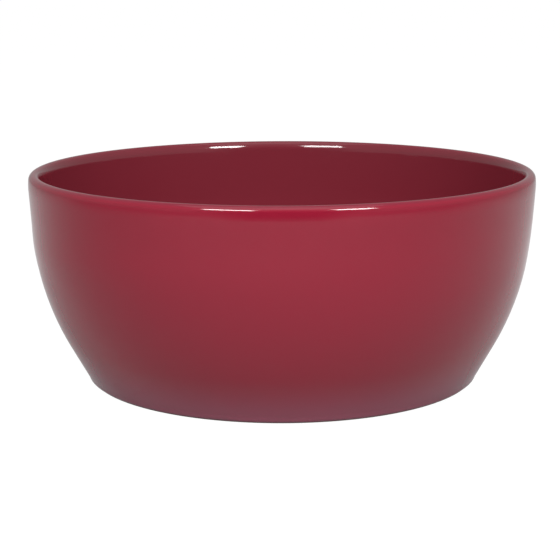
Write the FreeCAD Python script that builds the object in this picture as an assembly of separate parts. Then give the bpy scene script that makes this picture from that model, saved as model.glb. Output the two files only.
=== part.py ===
import FreeCAD, Part
import os
from FreeCAD import Vector

# A round table bowl of fired clay under a glossy glaze, in millimetres.
# The origin is the centre of the foot on the table, and +Z is the bowl's axis.

# The bowl as it stands, measured over the glaze
rim_diameter = 280.0
bowl_height = 115.2
base_diameter = 218.0

# The wall, the lip and the floor, measured through clay and glaze together
wall_thickness = 7.0
lip_height = 8.8
floor_thickness = 7.5
floor_dish = 1.0

# How far the inside's turn into the floor reaches up from the floor and in from the wall
floor_turn_rise = 22.5
floor_turn_run = 34.8

# The foot: a turned ring under the edge of the floor
foot_height = 6.0
foot_width = 9.0
foot_draft = 1.5
foot_heel = 0.8

# The glaze: one coat, wiped off a narrow band above the table
glaze_thickness = 0.5
bare_band = 0.7
glaze_pool = 1.5

# The outside slants out from the foot and stands almost upright under the rim. The two
# flanks would meet at this point, as shares of the way out and up from the foot to the rim.
belly_corner_shares = (0.881, 0.4675)

# The belly's arc begins this far down the lower flank, as a share of the flank's length
belly_round_share = 0.598

# The crown of the lip stands nearer to the outside than to the inside of the wall
crown_share = 0.48

# An arc that bulges less than this share of its chord is drawn as a straight line
straight_share = 1e-6

rim_radius = rim_diameter / 2
lip_base = bowl_height - lip_height
floor_top = foot_height + floor_thickness


def at(radius, height):
    """A point of the section, which is drawn in the XZ plane."""
    return Vector(radius, 0, height)


def left_of(way):
    """The direction a quarter turn to the left of another."""
    return at(-way.z, way.x)


def towards(start, end):
    return (end - start).normalize()


up = at(0, 1)
down = at(0, -1)
inward = at(-1, 0)
outward = at(1, 0)


class Arc:
    """A stretch of an outline that leaves its start along a way and bends evenly to its end."""

    def __init__(self, start, way, end):
        along = towards(start, end)
        ahead = way.dot(along)
        aside = way.dot(left_of(along))
        self.start = start
        self.end = end
        self.way = way
        self.last_way = along * (2 * ahead) - way
        self.bulge_share = aside / (1 + ahead) / 2

    def curve(self):
        chord = self.end - self.start
        if abs(self.bulge_share) < straight_share:
            return Part.LineSegment(self.start, self.end)
        middle = self.start + chord / 2 + left_of(chord) * self.bulge_share
        return Part.Arc(self.start, middle, self.end)

    def moved_left(self, distance):
        """The arc that runs beside this one, at an even distance to its left."""
        start = self.start + left_of(self.way) * distance
        return Arc(start, self.way, self.end + left_of(self.last_way) * distance)

    def reversed(self):
        return Arc(self.end, -self.last_way, self.start)

    def cut_at(self, height):
        """The parts of the arc below and above a height that it passes."""
        level = Part.LineSegment(at(0, height), at(rim_radius, height))
        meeting = self.curve().intersectCC(level)[0]
        below = Arc(self.start, self.way, at(meeting.X, meeting.Z))
        return below, Arc(below.end, below.last_way, self.end)


def straight(start, end):
    return Arc(start, towards(start, end), end)


def arc_pair(start, way, end, last_way):
    """Two arcs that meet smoothly and keep the direction given at each end."""
    chord = end - start
    lean = chord.dot(way + last_way)
    spread = 2 * (1 - way.dot(last_way))
    reach = chord.dot(chord) / (lean + (lean ** 2 + spread * chord.dot(chord)) ** 0.5)
    joint = (start + way * reach + end - last_way * reach) / 2
    first = Arc(start, way, joint)
    return [first, Arc(joint, first.last_way, end)]


def split_at(outline, height):
    """The arcs of a rising outline below and above a height."""
    below = []
    above = []
    for arc in outline:
        if arc.end.z <= height:
            below.append(arc)
        elif arc.start.z >= height:
            above.append(arc)
        else:
            lower, upper = arc.cut_at(height)
            below.append(lower)
            above.append(upper)
    return below, above


def moved_left(outline, distance):
    return [arc.moved_left(distance) for arc in outline]


def turned(outline):
    """The solid that a closed outline makes in one turn about the bowl's axis."""
    edges = [arc.curve().toShape() for arc in outline]
    section = Part.Face(Part.Wire(Part.sortEdges(edges)[0]))
    return section.revolve(at(0, 0), up, 360)


def outside_outline():
    """The lower flank, the belly and the upper flank, from the glaze's edge to the lip."""
    base = at(base_diameter / 2, bare_band)
    rim = at(rim_radius, lip_base)
    corner_out, corner_up = belly_corner_shares
    corner = base + at(corner_out * (rim - base).x, corner_up * (rim - base).z)
    reach = belly_round_share * (corner - base).Length
    belly_start = corner - towards(base, corner) * reach
    belly_end = corner + towards(corner, rim) * reach
    return [
        straight(base, belly_start),
        Arc(belly_start, towards(base, corner), belly_end),
        straight(belly_end, rim),
    ]


def inside_outline(outside):
    """The inside: even with the outside down to the turn, then round into the dished floor."""
    wall = split_at(moved_left(outside, wall_thickness), floor_top + floor_turn_rise)[1]
    falling = [arc.reversed() for arc in reversed(wall)]
    turn_start = falling[-1].end
    well_edge = at(turn_start.x - floor_turn_run, floor_top)
    dish = Arc(at(0, floor_top - floor_dish), outward, well_edge).reversed()
    turn = arc_pair(turn_start, falling[-1].last_way, well_edge, dish.way)
    return falling + turn + [dish]


def lip_outline(outside, inside):
    """The lip: round over the crown from the outside's end to the inside's start."""
    crown = at(rim_radius - crown_share * wall_thickness, bowl_height)
    rise = arc_pair(outside[-1].end, outside[-1].last_way, crown, inward)
    return rise + arc_pair(crown, inward, inside[0].start, inside[0].way)


# The glazed outline runs up the outside, over the lip and down the inside to the axis,
# so the clay always lies to its left.
outside = outside_outline()
inside = inside_outline(outside)
lip = lip_outline(outside, inside)

clay_outside = moved_left(outside, glaze_thickness)
clay_foot_side, clay_wall_side = split_at(clay_outside, foot_height)
foot_joint = clay_wall_side[0].start
glaze_edge = clay_foot_side[0].start
flank_foot = at(glaze_edge.x - foot_width, bare_band)
flank_top = at(flank_foot.x - foot_draft, foot_height)


def clay_body():
    """The thrown wall, lip and floor, down to the joint with the foot ring."""
    clay = clay_wall_side + moved_left(lip + inside, glaze_thickness)
    axis_foot = at(0, foot_height)
    return turned(clay + [
        straight(clay[-1].end, axis_foot),
        straight(axis_foot, flank_top),
        straight(flank_top, foot_joint),
    ])


def foot_ring():
    """The bare ring that bears on the table, with both edges of its face rounded."""
    face_outside = at(glaze_edge.x - foot_heel, 0)
    face_inside = at(flank_foot.x + foot_heel, 0)
    outer_heel = arc_pair(glaze_edge, down, face_outside, inward)
    inner_heel = arc_pair(face_inside, inward, flank_foot, up)
    return turned(clay_foot_side + outer_heel + inner_heel + [
        straight(face_outside, face_inside),
        straight(flank_foot, flank_top),
        straight(flank_top, foot_joint),
    ])


def coat(outline):
    """A glaze coat between its own outline and the clay's, cut square at both ends."""
    clay = moved_left(outline, glaze_thickness)
    return turned(outline + clay + [
        straight(outline[0].start, clay[0].start),
        straight(outline[-1].end, clay[-1].end),
    ])


def underside_glaze():
    """The coat in the hollow of the foot, pooled where the floor meets the ring."""
    up_flank = towards(flank_foot, flank_top)
    coat_foot = flank_foot + left_of(up_flank) * glaze_thickness
    coat_level = foot_height - glaze_thickness
    corner = coat_foot + up_flank * ((coat_level - coat_foot.z) / up_flank.z)
    pool_foot = corner - up_flank * glaze_pool
    pool_top = corner + inward * glaze_pool
    axis_top = at(0, foot_height)
    axis_foot = at(0, coat_level)
    return turned(arc_pair(pool_foot, up_flank, pool_top, inward) + [
        straight(axis_top, flank_top),
        straight(flank_top, flank_foot),
        straight(flank_foot, coat_foot),
        straight(coat_foot, pool_foot),
        straight(pool_top, axis_foot),
        straight(axis_foot, axis_top),
    ])


pieces = {
    "clay_body": clay_body(),
    "foot_ring": foot_ring(),
    "outer_glaze": coat(outside),
    "lip_glaze": coat(lip),
    "inner_glaze": coat(inside),
    "underside_glaze": underside_glaze(),
}

os.makedirs("parts", exist_ok=True)
for name, solid in pieces.items():
    solid.exportStep(f"parts/{name}.step")
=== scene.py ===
from cmath import phase, rect
from math import ceil, cos, exp, pi, radians, sin, sqrt, tau

import bmesh
import bpy
from mathutils import Matrix, Vector


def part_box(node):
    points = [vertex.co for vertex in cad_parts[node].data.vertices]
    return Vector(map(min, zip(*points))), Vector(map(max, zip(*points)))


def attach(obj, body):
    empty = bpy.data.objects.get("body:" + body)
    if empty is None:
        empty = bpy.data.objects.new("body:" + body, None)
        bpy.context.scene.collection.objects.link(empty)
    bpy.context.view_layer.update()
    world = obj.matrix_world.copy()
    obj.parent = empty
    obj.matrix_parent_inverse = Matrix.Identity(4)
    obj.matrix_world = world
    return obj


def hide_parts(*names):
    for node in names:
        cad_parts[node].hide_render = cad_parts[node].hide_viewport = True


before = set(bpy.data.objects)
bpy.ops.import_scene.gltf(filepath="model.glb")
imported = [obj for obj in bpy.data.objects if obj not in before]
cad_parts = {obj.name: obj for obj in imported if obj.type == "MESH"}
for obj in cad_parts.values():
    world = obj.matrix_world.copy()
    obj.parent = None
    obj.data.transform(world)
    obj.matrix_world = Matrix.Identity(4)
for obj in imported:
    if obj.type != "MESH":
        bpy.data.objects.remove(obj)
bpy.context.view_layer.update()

# A round table bowl of fired clay under a glossy raspberry glaze, in metres. The origin is
# the centre of the foot on the table, +Z is the bowl's axis, and the photograph looks along +Y.

# Sizes that the frame gives. The rim is a hair smaller, so that no unevenness leaves its box.
hair = 0.00006
rim_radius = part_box("outer_glaze")[1].x - hair
lip_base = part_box("outer_glaze")[1].z
bare_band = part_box("outer_glaze")[0].z
bowl_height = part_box("lip_glaze")[1].z
foot_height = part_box("foot_ring")[1].z

# The outside: two flanks that would meet at a corner, given as shares of the way out and up
# from the foot to the rim, with the belly's arc between them
base_radius = 0.1090
belly_corner_shares = (0.878, 0.4660)
belly_round_share = 0.597

# The wall, the lip and the floor, measured through clay and glaze together
wall_thickness = 0.0070
crown_share = 0.48
crown_radius = 0.0025
inner_rise = 0.0028
floor_top = 0.0135
floor_dish = 0.0010
floor_turn_rise = 0.0225
floor_turn_run = 0.0348

# The foot ring
foot_width = 0.0090
foot_draft = 0.0015
foot_heel = 0.0008

# The glaze coat, and the roll that its wiped edge gathers into above the foot
glaze_thickness = 0.0005
glaze_pool = 0.0015
roll_swell = 0.00022
roll_crest_rise = 0.0008
roll_height = 0.0030

# The hand's unevenness: the belly leans to one side, and the wall is a little out of round,
# in two lobes and more weakly in three that twist on the way up
lean = 0.00027
lean_height = 0.0753
lean_reach = 0.0107
still_radius = base_radius / 2
out_of_round = 0.00012
two_lobe_angle = -0.7
three_lobe_angle = 1.9
three_lobe_twist = 4.0
three_lobe_share = 0.6
throwing_line_depth = 0.000012
throwing_line_pitch = 0.0062

# The mesh: columns round the axis and spacing of the rings
columns = 240
wall_step = 0.0016
lip_step = 0.0005
hidden_step = 0.0045
seam_step = 0.00005
sharp_turn = radians(30)

# An arc that turns by less than this is drawn as a straight line, and an arc is cut at a
# height to within this share of its length
straight_turn = 1e-6
cut_share = 1e-9

up = 1j
down = -1j
inward = -1
outward = 1


# The section. A point of it is a complex number: its radius, and its height times 1j.
class Arc:
    """A stretch of an outline that leaves its start along a way and bends evenly to its end."""

    def __init__(self, start, way, end):
        self.start = start
        self.way = way
        self.end = end
        self.chord = abs(end - start)
        self.half_turn = phase((end - start) / way)
        self.last_way = way * rect(1, 2 * self.half_turn)
        self.length = self.chord
        if abs(self.half_turn) > straight_turn:
            self.length *= self.half_turn / sin(self.half_turn)

    def point(self, share):
        """The point at a share of the arc's length."""
        reach = share
        if abs(self.half_turn) > straight_turn:
            reach = sin(self.half_turn * share) / sin(self.half_turn)
        return self.start + self.way * rect(self.chord * reach, self.half_turn * share)

    def moved_left(self, distance):
        """The arc that runs beside this one, at an even distance to its left."""
        start = self.start + 1j * self.way * distance
        return Arc(start, self.way, self.end + 1j * self.last_way * distance)

    def reversed(self):
        return Arc(self.end, -self.last_way, self.start)

    def cut_at(self, height):
        """The parts of a rising arc below and above a height."""
        low, high = 0.0, 1.0
        while high - low > cut_share:
            middle = (low + high) / 2
            if self.point(middle).imag < height:
                low = middle
            else:
                high = middle
        below = Arc(self.start, self.way, self.point(low))
        return below, Arc(below.end, below.last_way, self.end)


def towards(start, end):
    return (end - start) / abs(end - start)


def straight(start, end):
    return Arc(start, towards(start, end), end)


def arc_pair(start, way, end, last_way):
    """Two arcs that meet smoothly and keep the direction given at each end."""
    chord = end - start
    lean_on = (chord * (way + last_way).conjugate()).real
    spread = 2 * (1 - (way * last_way.conjugate()).real)
    reach = abs(chord) ** 2 / (lean_on + sqrt(lean_on ** 2 + spread * abs(chord) ** 2))
    joint = (start + way * reach + end - last_way * reach) / 2
    first = Arc(start, way, joint)
    return [first, Arc(joint, first.last_way, end)]


def split_at(outline, height):
    """The arcs of a rising outline below and above a height."""
    below = [arc for arc in outline if arc.end.imag <= height]
    above = [arc for arc in outline if arc.start.imag >= height]
    for arc in outline:
        if arc.start.imag < height < arc.end.imag:
            lower, upper = arc.cut_at(height)
            below.append(lower)
            above.insert(0, upper)
    return below, above


def moved_left(outline, distance):
    return [arc.moved_left(distance) for arc in outline]


def reversed_outline(outline):
    return [arc.reversed() for arc in reversed(outline)]


def outside_outline():
    """The lower flank, the belly and the upper flank, from the glaze's edge to the lip."""
    base = base_radius + bare_band * up
    rim = rim_radius + lip_base * up
    across = rim - base
    out_share, up_share = belly_corner_shares
    corner = base + out_share * across.real + up_share * across.imag * up
    reach = belly_round_share * abs(corner - base)
    belly_start = corner - towards(base, corner) * reach
    belly_end = corner + towards(corner, rim) * reach
    belly = Arc(belly_start, towards(base, corner), belly_end)
    return [straight(base, belly_start), belly, straight(belly_end, rim)]


def inside_outline(outside):
    """The inside: even with the outside down to the turn, then round into the dished floor."""
    wall = split_at(moved_left(outside, wall_thickness), floor_top + floor_turn_rise)[1]
    falling = reversed_outline(wall)
    turn_start = falling[-1].end
    well_edge = turn_start.real - floor_turn_run + floor_top * up
    dish = Arc((floor_top - floor_dish) * up, outward, well_edge).reversed()
    turn = arc_pair(turn_start, falling[-1].last_way, well_edge, dish.way)
    return falling + turn + [dish]


def shoulder(start, way, crown):
    """A wide arc from the top of the inside wall, then one of the crown's radius up to it."""
    centre = crown + down * crown_radius
    across = -1j * way
    arm = start - centre
    spare = abs(arm) ** 2 - crown_radius ** 2
    radius = -spare / (2 * ((arm * across.conjugate()).real + crown_radius))
    joint = centre + towards(start + across * radius, centre) * crown_radius
    first = Arc(start, way, joint)
    return [first, Arc(joint, first.last_way, crown)]


def lip_outline(outside, inside):
    """The lip: round from the outside up to the crown, and by a soft shoulder to the inside."""
    crown = rim_radius - crown_share * wall_thickness + bowl_height * up
    rise = arc_pair(outside[-1].end, outside[-1].last_way, crown, inward)
    wall_way = -inside[0].way
    shoulder_foot = inside[0].start + wall_way * inner_rise
    inner = [straight(inside[0].start, shoulder_foot)] + shoulder(shoulder_foot, wall_way, crown)
    return rise + reversed_outline(inner)


def rolled_edge(outside):
    """The outside with the glaze's lower edge rounded and gathered into a low roll."""
    flank = outside[0]
    clay_edge = flank.moved_left(glaze_thickness).start
    crest = flank.moved_left(-roll_swell).point(roll_crest_rise / flank.length)
    roll_top = flank.point(roll_height / flank.length)
    edge = arc_pair(clay_edge, -1j * flank.way, crest, flank.way)
    settling = arc_pair(crest, flank.way, roll_top, flank.way)
    return edge + settling + [straight(roll_top, flank.end)] + outside[1:]


outside = outside_outline()
inside = inside_outline(outside)
lip = lip_outline(outside, inside)
clay_foot_side, clay_wall_side = split_at(moved_left(outside, glaze_thickness), foot_height)
foot_joint = clay_wall_side[0].start
glaze_edge = clay_foot_side[0].start
flank_foot = glaze_edge.real - foot_width + bare_band * up
flank_top = flank_foot.real - foot_draft + foot_height * up


# The closed sections, counter-clockwise: what is seen, and back along what is hidden
def traced(outline, step):
    """Points along an outline, with a close one beside each end to hold the surface there."""
    points = [outline[0].start]
    points.append(outline[0].point(seam_step / outline[0].length))
    for arc in outline:
        count = ceil(arc.length / step)
        points += [arc.point(index / count) for index in range(1, count + 1)]
    points.insert(-1, outline[-1].point(1 - seam_step / outline[-1].length))
    return points


def coat_section(outline, step):
    """A glaze coat: its own outline, and back along the clay."""
    clay = reversed_outline(moved_left(outline, glaze_thickness))
    return traced(outline, step) + traced(clay, hidden_step)


def outer_coat_section():
    """The outside's coat, whose rolled edge already starts on the clay."""
    clay = reversed_outline(moved_left(outside, glaze_thickness))
    return traced(rolled_edge(outside), wall_step) + traced(clay, hidden_step)[:-1]


def clay_section():
    clay = clay_wall_side + moved_left(lip + inside, glaze_thickness)
    underside = [straight(foot_height * up, flank_top)]
    return traced(clay, hidden_step) + traced(underside, hidden_step)


def foot_section():
    face_outside = glaze_edge.real - foot_heel
    face_inside = flank_foot.real + foot_heel
    outer_heel = arc_pair(glaze_edge, down, face_outside, inward)
    inner_heel = arc_pair(face_inside, inward, flank_foot, up)
    under = outer_heel + [straight(face_outside, face_inside)] + inner_heel
    bearing = traced(under, lip_step)
    top = traced([straight(flank_top, foot_joint)], lip_step)
    hidden = traced(reversed_outline(clay_foot_side), lip_step)
    return bearing + top + hidden[1:-1]


def underside_section():
    up_flank = towards(flank_foot, flank_top)
    coat_foot = flank_foot + 1j * up_flank * glaze_thickness
    coat_level = foot_height - glaze_thickness
    corner = coat_foot + up_flank * ((coat_level - coat_foot.imag) / up_flank.imag)
    pool_foot = corner - up_flank * glaze_pool
    pool_top = corner + inward * glaze_pool
    shown = [straight(coat_foot, pool_foot)] + arc_pair(pool_foot, up_flank, pool_top, inward)
    shown.append(straight(pool_top, coat_level * up))
    hidden = [straight(foot_height * up, flank_top), straight(flank_top, flank_foot)]
    return traced(shown, lip_step) + traced(hidden, hidden_step)


# The pieces: each section is turned about the axis, and the hand's unevenness goes through
# clay and glaze alike, so the coats stay on the clay.
def held(share):
    """A share, held between 0 and 1."""
    return min(max(share, 0), 1)


def thrown(point, angle):
    """Where a point of the section lies on the bowl, round the axis by an angle.

    The wall is freest half way up, and runs true at the foot and the lip."""
    radius, height = point.real, point.imag
    share_up = held(height / lip_base)
    on_wall = held((radius - still_radius) / still_radius)
    free = on_wall * share_up * (1 - share_up) * 4
    two_lobes = cos(2 * angle + two_lobe_angle)
    three_lobes = cos(3 * angle + three_lobe_angle + three_lobe_twist * share_up)
    line = sin(tau * height / throwing_line_pitch + angle)
    lobes = out_of_round * (two_lobes + three_lobe_share * three_lobes)
    radius += free * (lobes + throwing_line_depth * line)
    belly = on_wall * exp(-((height - lean_height) / lean_reach) ** 2)
    return Vector((radius * cos(angle) - lean * belly, radius * sin(angle), height))


def new_object(name, data):
    item = bpy.data.objects.new(name, data)
    bpy.context.scene.collection.objects.link(item)
    return item


def mesh_object(name, mesh, finish):
    """An object in the scene, of a mesh that is done and its finish."""
    data = bpy.data.meshes.new(name)
    mesh.to_mesh(data)
    mesh.free()
    data.materials.append(finish)
    return new_object(name, data)


def turned(name, node, section, finish):
    """A piece turned from a closed section. A point on the axis stays one point."""
    mesh = bmesh.new()
    angles = [tau * column / columns for column in range(columns)]
    rings = []
    for point in section:
        if point.real < seam_step:
            rings.append([mesh.verts.new((0, 0, point.imag))] * columns)
        else:
            rings.append([mesh.verts.new(thrown(point, angle)) for angle in angles])
    for ring, following in zip(rings, rings[1:] + rings[:1]):
        for column in range(columns):
            beside = (column + 1) % columns
            corners = [ring[column], ring[beside], following[beside], following[column]]
            corners = list(dict.fromkeys(corners))
            if len(corners) > 2:
                mesh.faces.new(corners).smooth = True
    bmesh.ops.recalc_face_normals(mesh, faces=mesh.faces)
    for edge in mesh.edges:
        if edge.calc_face_angle(0) > sharp_turn:
            edge.smooth = False
    piece = mesh_object(name, mesh, finish)
    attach(piece, "root")
    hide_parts(node)


# The means to make finishes
class Wire:
    """One output of a finish's nodes, with arithmetic that adds the Math nodes it takes."""

    def __init__(self, recipe, socket):
        self.recipe = recipe
        self.socket = socket

    def math(self, operation, *values):
        return self.recipe.node("ShaderNodeMath", {"operation": operation}, dict(enumerate(values)))

    def __add__(self, other):
        return self.math("ADD", self, other)

    def __sub__(self, other):
        return self.math("SUBTRACT", self, other)

    def __rsub__(self, other):
        return self.math("SUBTRACT", other, self)

    def __mul__(self, other):
        return self.math("MULTIPLY", self, other)

    def __truediv__(self, other):
        return self.math("DIVIDE", self, other)

    def __neg__(self):
        return self.math("SUBTRACT", 0.0, self)

    def __abs__(self):
        return self.math("ABSOLUTE", self)

    def at_least(self, other):
        return self.math("MAXIMUM", self, other)


class Recipe:
    """The nodes that make one finish, or the light of the room."""

    def __init__(self, tree):
        self.tree = tree
        tree.nodes.clear()

    def node(self, kind, settings, sockets, out=0):
        """Adds a node, its settings first and then its sockets, and gives one of its outputs."""
        node = self.tree.nodes.new(kind)
        for name, value in settings.items():
            setattr(node, name, value)
        for name, value in sockets.items():
            if isinstance(value, Wire):
                self.tree.links.new(value.socket, node.inputs[name])
            else:
                node.inputs[name].default_value = value
        return Wire(self, node.outputs[out]) if node.outputs else None

    def place(self):
        """The point of the surface, in metres."""
        return self.node("ShaderNodeTexCoord", {}, {}, "Object")

    def part(self, vector, axis):
        return self.node("ShaderNodeSeparateXYZ", {}, {"Vector": vector}, axis)

    def radius(self, place):
        """How far a place lies from the bowl's axis."""
        kind = "ShaderNodeVectorMath"
        level = self.node(kind, {"operation": "MULTIPLY"}, {0: place, 1: (1.0, 1.0, 0.0)})
        return self.node(kind, {"operation": "LENGTH"}, {0: level}, "Value")

    def ray(self, kind):
        """1 to rays of one kind, 0 to all others."""
        return self.node("ShaderNodeLightPath", {}, {}, f"Is {kind} Ray")

    def cloud(self, place, size, detail=2.0):
        """Soft patches of about one size, from 0 to 1."""
        sockets = {"Vector": place, "Scale": 1 / size, "Detail": detail}
        return self.node("ShaderNodeTexNoise", {}, sockets)

    def rise(self, value, low, high, first=0.0, last=1.0):
        """Goes smoothly from first to last as a value goes from low to high."""
        return self.node(
            "ShaderNodeMapRange",
            {"interpolation_type": "SMOOTHSTEP"},
            {"Value": value, "From Min": low, "From Max": high, "To Min": first, "To Max": last},
        )

    def blend(self, share, first, second):
        """Between two colours, by a share."""
        settings = {"data_type": "RGBA"}
        return self.node("ShaderNodeMix", settings, {0: share, 6: first, 7: second}, 2)

    def bump(self, height, strength, depth):
        """The tilt of a surface that rises and falls with a value."""
        sockets = {"Strength": strength, "Distance": depth, "Height": height}
        return self.node("ShaderNodeBump", {}, sockets)

    def surface(self, **sockets):
        """The shader, with the output that it feeds."""
        named = {name.replace("_", " "): value for name, value in sockets.items()}
        shader = self.node("ShaderNodeBsdfPrincipled", {}, named)
        self.node("ShaderNodeOutputMaterial", {}, {"Surface": shader})


def colour(red, green, blue):
    return (red, green, blue, 1.0)


def grey(level):
    return colour(level, level, level)


def new_finish(name):
    finish = bpy.data.materials.new(name)
    finish.use_nodes = True
    return finish, Recipe(finish.node_tree)


# The range of a cloud's values in which most of it lies
cloud_range = (0.3, 0.7)

# The glaze's colours, and the radii between which its tone changes on the lip
raspberry = colour(0.338, 0.0120, 0.0360)
deep_raspberry = colour(0.328, 0.0112, 0.0345)
# Painted shade: the inside is darker red than the outside, for the lesser light inside the bowl.
# Its extra green and blue are a painted pale reflection.
inside_painted_shade_and_reflection = colour(0.235, 0.0260, 0.0420)
lip_raspberry = colour(0.262, 0.0125, 0.0355)
# Painted reflection: a pale tone low on the wall that stands in for the floor mirrored there
painted_floor_reflection_raspberry = colour(0.348, 0.0830, 0.1360)
lip_outside = rim_radius - 0.0004
lip_crown = rim_radius - 0.0014
lip_inside = rim_radius - wall_thickness

# Where the glaze turns pale, a painted reflection of the floor: not yet at the first height, wholly
# at the second
painted_floor_reflection_heights = (0.028, -0.004)

# The glaze's clouds, its grain, and the shallow waves of its surface
cloud_size = 0.016
cloud_detail = 3.0
cloud_weight = 0.6
grain_size = 0.0012
grain_weight = 0.4
depth_range = (0.35, 0.65)
wave_size = 0.005
wave_strength = 0.15
wave_depth = 0.0001
glaze_roughness = (0.07, 0.10)
glaze_ior = 1.55


def raspberry_glaze(name, crown_tone, inner_tone):
    """Glassy glaze: faintly cloudy, with painted shade and a painted pale reflection inside, and
    paler towards the foot as a painted reflection of the floor.
    """
    finish, recipe = new_finish(name)
    place = recipe.place()
    radius = recipe.radius(place)
    clouds = recipe.cloud(place, cloud_size, cloud_detail)
    grain = recipe.cloud(place, grain_size)
    depth = recipe.rise(clouds * cloud_weight + grain * grain_weight, *depth_range)
    tone = recipe.blend(depth, raspberry, deep_raspberry)
    tone = recipe.blend(recipe.rise(radius, lip_outside, lip_crown), tone, crown_tone)
    # From the crown inward the tone blends into the inside tone, which on the inner glaze is
    # painted shade and a painted reflection.
    tone = recipe.blend(recipe.rise(radius, lip_crown, lip_inside), tone, inner_tone)
    # Paler towards the foot: a painted reflection of the floor
    painted_floor_reflection = recipe.rise(recipe.part(place, "Z"), *painted_floor_reflection_heights)
    waves = recipe.cloud(place, wave_size)
    recipe.surface(
        Base_Color=recipe.blend(painted_floor_reflection, tone, painted_floor_reflection_raspberry),
        Roughness=recipe.rise(clouds, *cloud_range, *glaze_roughness),
        IOR=glaze_ior,
        Normal=recipe.bump(waves, wave_strength, wave_depth),
    )
    return finish


# The bare clay's colours. Above the face that bears on the table it is darkened: painted shade of
# the dark line under the foot.
buff_clay = colour(0.52, 0.33, 0.22)
pale_clay = colour(0.60, 0.40, 0.28)
painted_shade_clay = colour(0.30, 0.17, 0.19)
iron_fleck = colour(0.22, 0.10, 0.06)
painted_shade_heights = (0.0, 0.0003)

# The bare clay's patches, its flecks and its sand
patch_size = 0.012
fleck_size = 0.0016
fleck_range = (0.68, 0.74)
sand_size = 0.0009
sand_detail = 4.0
sand_strength = 0.6
sand_depth = 0.0002
clay_roughness = (0.75, 0.92)


def bare_clay(name):
    """Fired clay without glaze: buff, a little sandy, with a few iron flecks."""
    finish, recipe = new_finish(name)
    place = recipe.place()
    sand = recipe.cloud(place, sand_size, sand_detail)
    flecks = recipe.rise(recipe.cloud(place, fleck_size), *fleck_range)
    tone = recipe.blend(recipe.cloud(place, patch_size), buff_clay, pale_clay)
    tone = recipe.blend(flecks, tone, iron_fleck)
    # Painted shade: the clay is darker everywhere above the bearing face
    painted_shade = recipe.rise(recipe.part(place, "Z"), *painted_shade_heights)
    recipe.surface(
        Base_Color=recipe.blend(painted_shade, tone, painted_shade_clay),
        Roughness=recipe.rise(sand, *cloud_range, *clay_roughness),
        Normal=recipe.bump(sand, sand_strength, sand_depth),
    )
    return finish


outer = raspberry_glaze("outer_raspberry_glaze", raspberry, raspberry)
# The inner glaze carries the painted shade and the painted reflection inside.
inner = raspberry_glaze("inner_raspberry_glaze", lip_raspberry, inside_painted_shade_and_reflection)
clay = bare_clay("bare_clay")

turned("glaze_outside", "outer_glaze", outer_coat_section(), outer)
turned("glaze_lip", "lip_glaze", coat_section(lip, lip_step), inner)
turned("glaze_inside", "inner_glaze", coat_section(inside, wall_step), inner)
turned("glaze_underside", "underside_glaze", underside_section(), outer)
turned("clay_wall_and_floor", "clay_body", clay_section(), clay)
turned("clay_foot", "foot_ring", foot_section(), clay)

# The room: a floor that reaches the horizon, walls and a ceiling by their light alone, and
# three softboxes. Floor and walls are white to the camera and grey to the bowl.
white = grey(1.0)

# The floor: its size and place, the grey that lights the bowl, and how much of its glow the
# camera sees and the glaze mirrors
floor_radius = 14.0
floor_sides = 96
floor_level = -0.00004
floor_tone = grey(0.42)
floor_glow = 1.2
seen_share = 0.82
mirrored_share = 0.16

# The floor's tone as the glaze mirrors it. It rises from grey in front of the bowl to white
# behind it, a little aslant.
near_tone = grey(0.36)
whitening_run = (-0.30, 0.40)
slant = 0.15

# The table's dark end in front of the bowl, which sets in between two distances. To the side,
# as a share of the distance, it is gone at the first value and whole at the second.
dark_tone = grey(0.18)
dark_start = (0.56, 0.80)
dark_spread = (0.58, 0.22)

# The light of the walls, lowest and highest. It rises from the camera's side to the back, once
# for the light that falls on the bowl and once for what the glaze mirrors.
room_light = (0.04, 0.40)
falling_rise = (-0.35, 0.25)
mirrored_rise = (-0.97, -0.72)

# Each softbox's azimuth and elevation in degrees, distance, width, height and power. Azimuth 0
# is the camera's side, and it grows to the right.
softboxes = {
    "softbox_left": (-24, 34, 1.2, 0.40, 0.24, 6.6),
    "softbox_right": (33, 34, 1.2, 0.33, 0.24, 6.6),
    "softbox_above": (0, 75, 1.6, 1.60, 1.40, 5),
}


def floor_finish():
    """Matt grey, with a glow on top for the camera and for what the glaze mirrors."""
    finish, recipe = new_finish("white_floor")
    place = recipe.place()
    aside = recipe.part(place, "X")
    backward = recipe.part(place, "Y")
    ahead = -backward
    seen = recipe.ray("Camera") + recipe.ray("Transmission")
    mirrored = recipe.ray("Glossy")
    narrow = recipe.rise(abs(aside) / ahead, *dark_spread)
    clear = 1.0 - narrow * recipe.rise(ahead, *dark_start)
    glow_share = seen * seen_share + mirrored * clear * mirrored_share
    whiter = recipe.rise(backward + aside * slant, *whitening_run)
    mirrored_tone = recipe.blend(clear, dark_tone, recipe.blend(whiter, near_tone, white))
    tone = recipe.blend(mirrored, floor_tone, mirrored_tone)
    matt = {"Base Color": tone, "Roughness": 1.0, "Specular IOR Level": 0.0}
    lit = recipe.node("ShaderNodeBsdfPrincipled", {}, matt)
    glow = recipe.node("ShaderNodeEmission", {}, {"Color": white, "Strength": floor_glow})
    mixed = recipe.node("ShaderNodeMixShader", {}, {0: glow_share, 1: lit, 2: glow})
    recipe.node("ShaderNodeOutputMaterial", {}, {"Surface": mixed})
    return finish


def lay_floor():
    """A round floor, one disc, a hair below the foot so that the two don't mix."""
    mesh = bmesh.new()
    bmesh.ops.create_circle(mesh, cap_ends=True, radius=floor_radius, segments=floor_sides)
    floor = mesh_object("studio_floor", mesh, floor_finish())
    floor.location.z = floor_level


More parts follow.
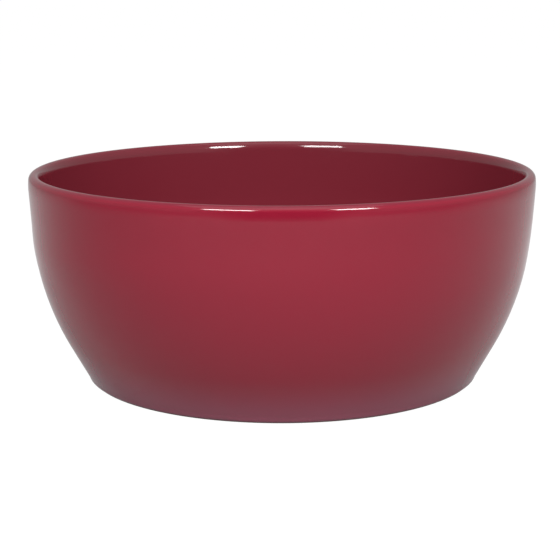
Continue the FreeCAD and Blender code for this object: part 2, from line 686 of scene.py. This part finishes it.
def light_room():
    """The light of the walls and the ceiling, by direction."""
    world = bpy.data.worlds.new("studio")
    world.use_nodes = True
    bpy.context.scene.world = world
    recipe = Recipe(world.node_tree)
    backward = recipe.part(recipe.node("ShaderNodeTexCoord", {}, {}, "Generated"), "Y")
    falling = recipe.rise(backward, *falling_rise, *room_light)
    mirrored = recipe.rise(backward, *mirrored_rise, *room_light)
    light = falling + recipe.ray("Glossy") * (mirrored - falling)
    strength = light.at_least(recipe.ray("Camera") + recipe.ray("Transmission"))
    glow = recipe.node("ShaderNodeBackground", {}, {"Color": white, "Strength": strength})
    recipe.node("ShaderNodeOutputWorld", {}, {"Surface": glow})


def hang_softbox(name, azimuth, elevation, distance, width, height, power):
    """An area lamp that faces the middle of the bowl's mouth."""
    lamp = bpy.data.lights.new(name, "AREA")
    lamp.shape = "RECTANGLE"
    lamp.size = width
    lamp.size_y = height
    lamp.energy = power
    place = Vector((
        distance * cos(radians(elevation)) * sin(radians(azimuth)),
        -distance * cos(radians(elevation)) * cos(radians(azimuth)),
        distance * sin(radians(elevation)) + bowl_height,
    ))
    aim = (Vector((0, 0, bowl_height)) - place).to_track_quat("-Z", "Y")
    box = new_object(name, lamp)
    box.matrix_world = Matrix.Translation(place) @ aim.to_matrix().to_4x4()


lay_floor()
light_room()
for name, terms in softboxes.items():
    hang_softbox(name, *terms)

# The camera, at the photograph's place and angle
photo_width = 560
focal_length = 1538.0
sensor_width = 36.0
camera_distance = 0.8527
camera_height = 0.22568
camera_pitch = radians(11.533)
camera_pan = radians(0.084)
camera_roll = radians(-0.170)


def set_camera():
    lens = bpy.data.cameras.new("camera")
    lens.sensor_width = sensor_width
    lens.lens = focal_length / photo_width * sensor_width
    stand = Matrix.Translation((0, -camera_distance, camera_height))
    pan = Matrix.Rotation(camera_pan, 4, "Z")
    pitch = Matrix.Rotation(pi / 2 - camera_pitch, 4, "X")
    roll = Matrix.Rotation(camera_roll, 4, "Z")
    camera = new_object("camera", lens)
    camera.matrix_world = stand @ pan @ pitch @ roll
    bpy.context.scene.camera = camera
    bpy.context.scene.view_settings.view_transform = "Standard"


set_camera()
